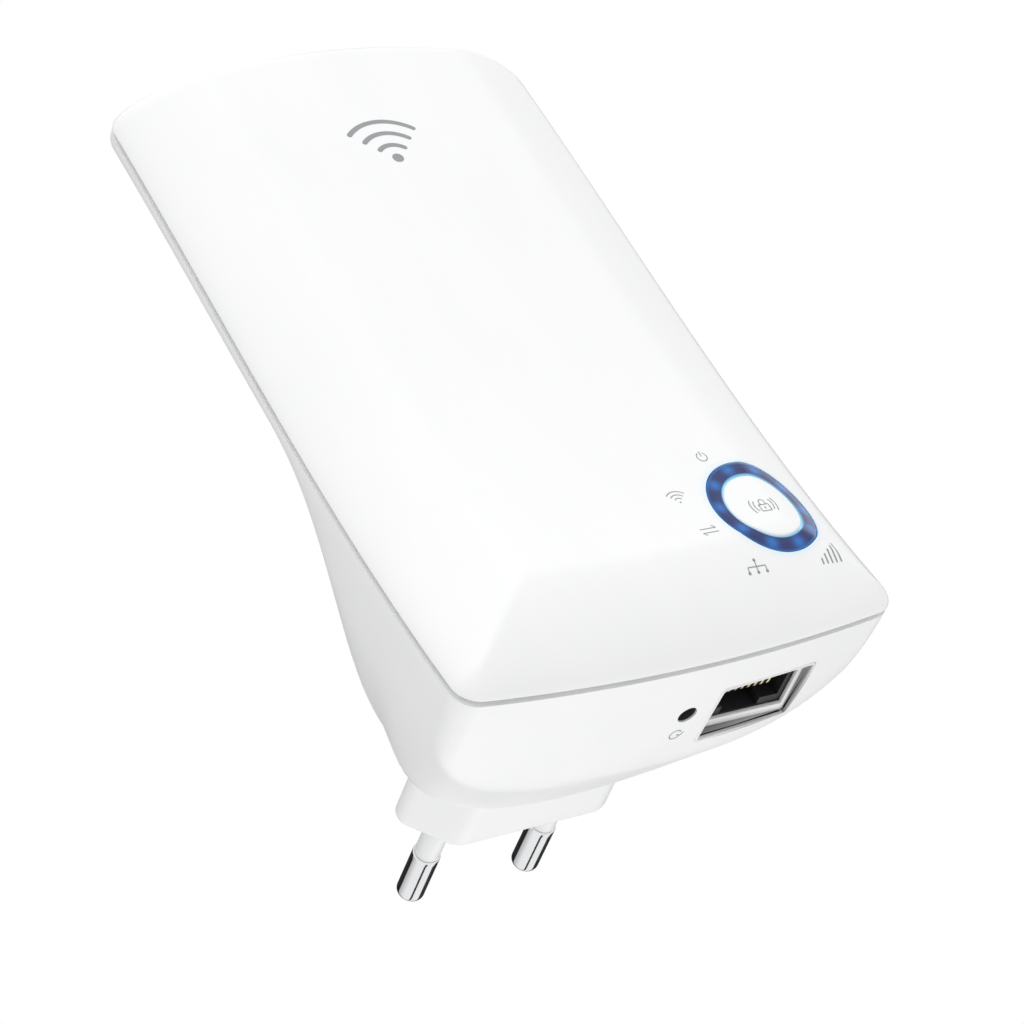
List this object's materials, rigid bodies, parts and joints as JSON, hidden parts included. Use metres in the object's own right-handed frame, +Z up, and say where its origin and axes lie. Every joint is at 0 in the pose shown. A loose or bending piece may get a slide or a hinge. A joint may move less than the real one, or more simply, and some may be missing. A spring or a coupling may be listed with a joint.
{
  "type": "wireless range extender",
  "caption": "White plug-in wireless range extender with a domed face, lit ring button, network jack, reset hole and a two-pin plug on its back.",
  "frame": {"origin": "centre of the plug's end face, midway between the two pins", "axes": "+Y the way the pins point, towards the wall socket; +Z up along the body's length; +X to the right as seen from the front, which looks to -Y"},
  "size_m": [0.066, 0.0769, 0.1107],
  "materials": {
    "cover_white": "satin gloss white",
    "housing_white": "satin white",
    "ring_blue": "lit blue light guide",
    "baffle_black": "moulded",
    "button_white": "satin gloss white",
    "switch_black": "moulded",
    "steel": "plated sheet",
    "pin_metal": "nickel plated",
    "sleeve_grey": "moulded",
    "brass": "stamped",
    "jack_black": "moulded",
    "contact_gold": "gold plated",
    "board_green": "solder mask",
    "led_lens": "clear lens",
    "chip_black": "moulded",
    "board_tan": "bare laminate",
    "ferrite": "sintered",
    "winding_tape": "tape",
    "capacitor_sleeve": "shrink sleeve",
    "fuse_brown": "moulded",
    "cable_black": "jacket",
    "sheet_grey": "film",
    "label_silver": "satin foil"
  },
  "bodies": {
    "casing": {"front_cover": "cover_white", "rear_housing": "housing_white", "light_ring": "ring_blue", "light_baffle": "baffle_black", "button_switch": "steel", "reset_switch": "steel", "plug_body": "housing_white", "left_pin": "pin_metal", "right_pin": "pin_metal", "left_pin_sleeve": "sleeve_grey", "right_pin_sleeve": "sleeve_grey", "pin_clips": "brass", "jack_housing": "jack_black", "jack_contacts": "contact_gold", "main_board": "board_green", "board_screws": "steel", "status_leds": "led_lens", "radio_shield": "steel", "main_chip": "chip_black", "memory_chip": "chip_black", "crystal": "steel", "network_transformer": "chip_black", "voltage_regulator": "chip_black", "power_board": "board_tan", "transformer_core": "ferrite", "transformer_winding": "winding_tape", "input_capacitor": "capacitor_sleeve", "output_capacitor": "capacitor_sleeve", "bridge_rectifier": "chip_black", "power_controller": "chip_black", "mains_fuse": "fuse_brown", "mains_choke": "winding_tape", "board_link": "brass", "antenna_board": "board_green", "antenna_cables": "cable_black", "antenna_elements": "contact_gold", "insulation_sheet": "sheet_grey", "rating_plate": "label_silver"},
    "button": {"button_cap": "button_white", "button_plunger": "switch_black"},
    "reset_key": {"reset_plunger": "switch_black"}
  },
  "joints": [
    {"name": "button_press", "type": "slide", "parent": "casing", "child": "button", "axis": [0, 1, 0], "range_m": [0, 0.0004], "stiffness_N_per_m": 2500},
    {"name": "reset_press", "type": "slide", "parent": "casing", "child": "reset_key", "axis": [0, 0, 1], "range_m": [0, 0.0003], "stiffness_N_per_m": 2500}
  ]
}
